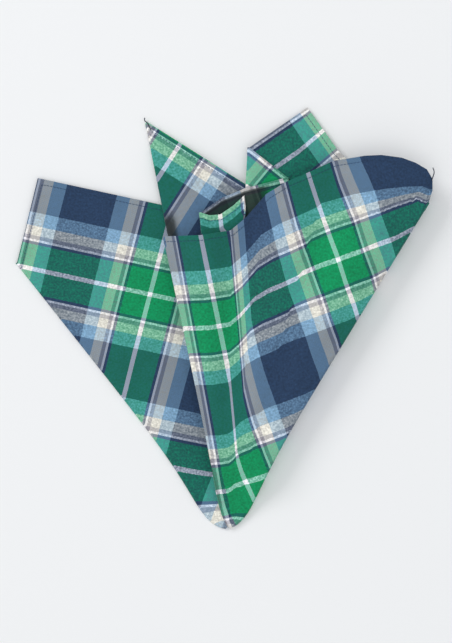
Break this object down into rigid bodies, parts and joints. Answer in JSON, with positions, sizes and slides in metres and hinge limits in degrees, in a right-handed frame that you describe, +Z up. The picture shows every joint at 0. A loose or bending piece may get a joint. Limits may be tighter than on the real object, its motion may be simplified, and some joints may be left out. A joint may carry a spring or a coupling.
{
  "type": "folded cotton handkerchief",
  "caption": "Checked cotton pocket handkerchief gathered at its centre and laid flat as a pleated fan with its hemmed corners fanned out.",
  "frame": {"origin": "centre of the bounding box on the surface it lies on", "axes": "+Z up off the surface, -Y towards the gathered tip, +X to the right as seen from above"},
  "size_m": [0.2312, 0.2312, 0.0196],
  "materials": {
    "checked_cotton": "matt plain weave, yarn-dyed green, navy, pale blue and white check"
  },
  "bodies": {
    "root": {"handkerchief": "checked_cotton"}
  },
  "joints": []
}
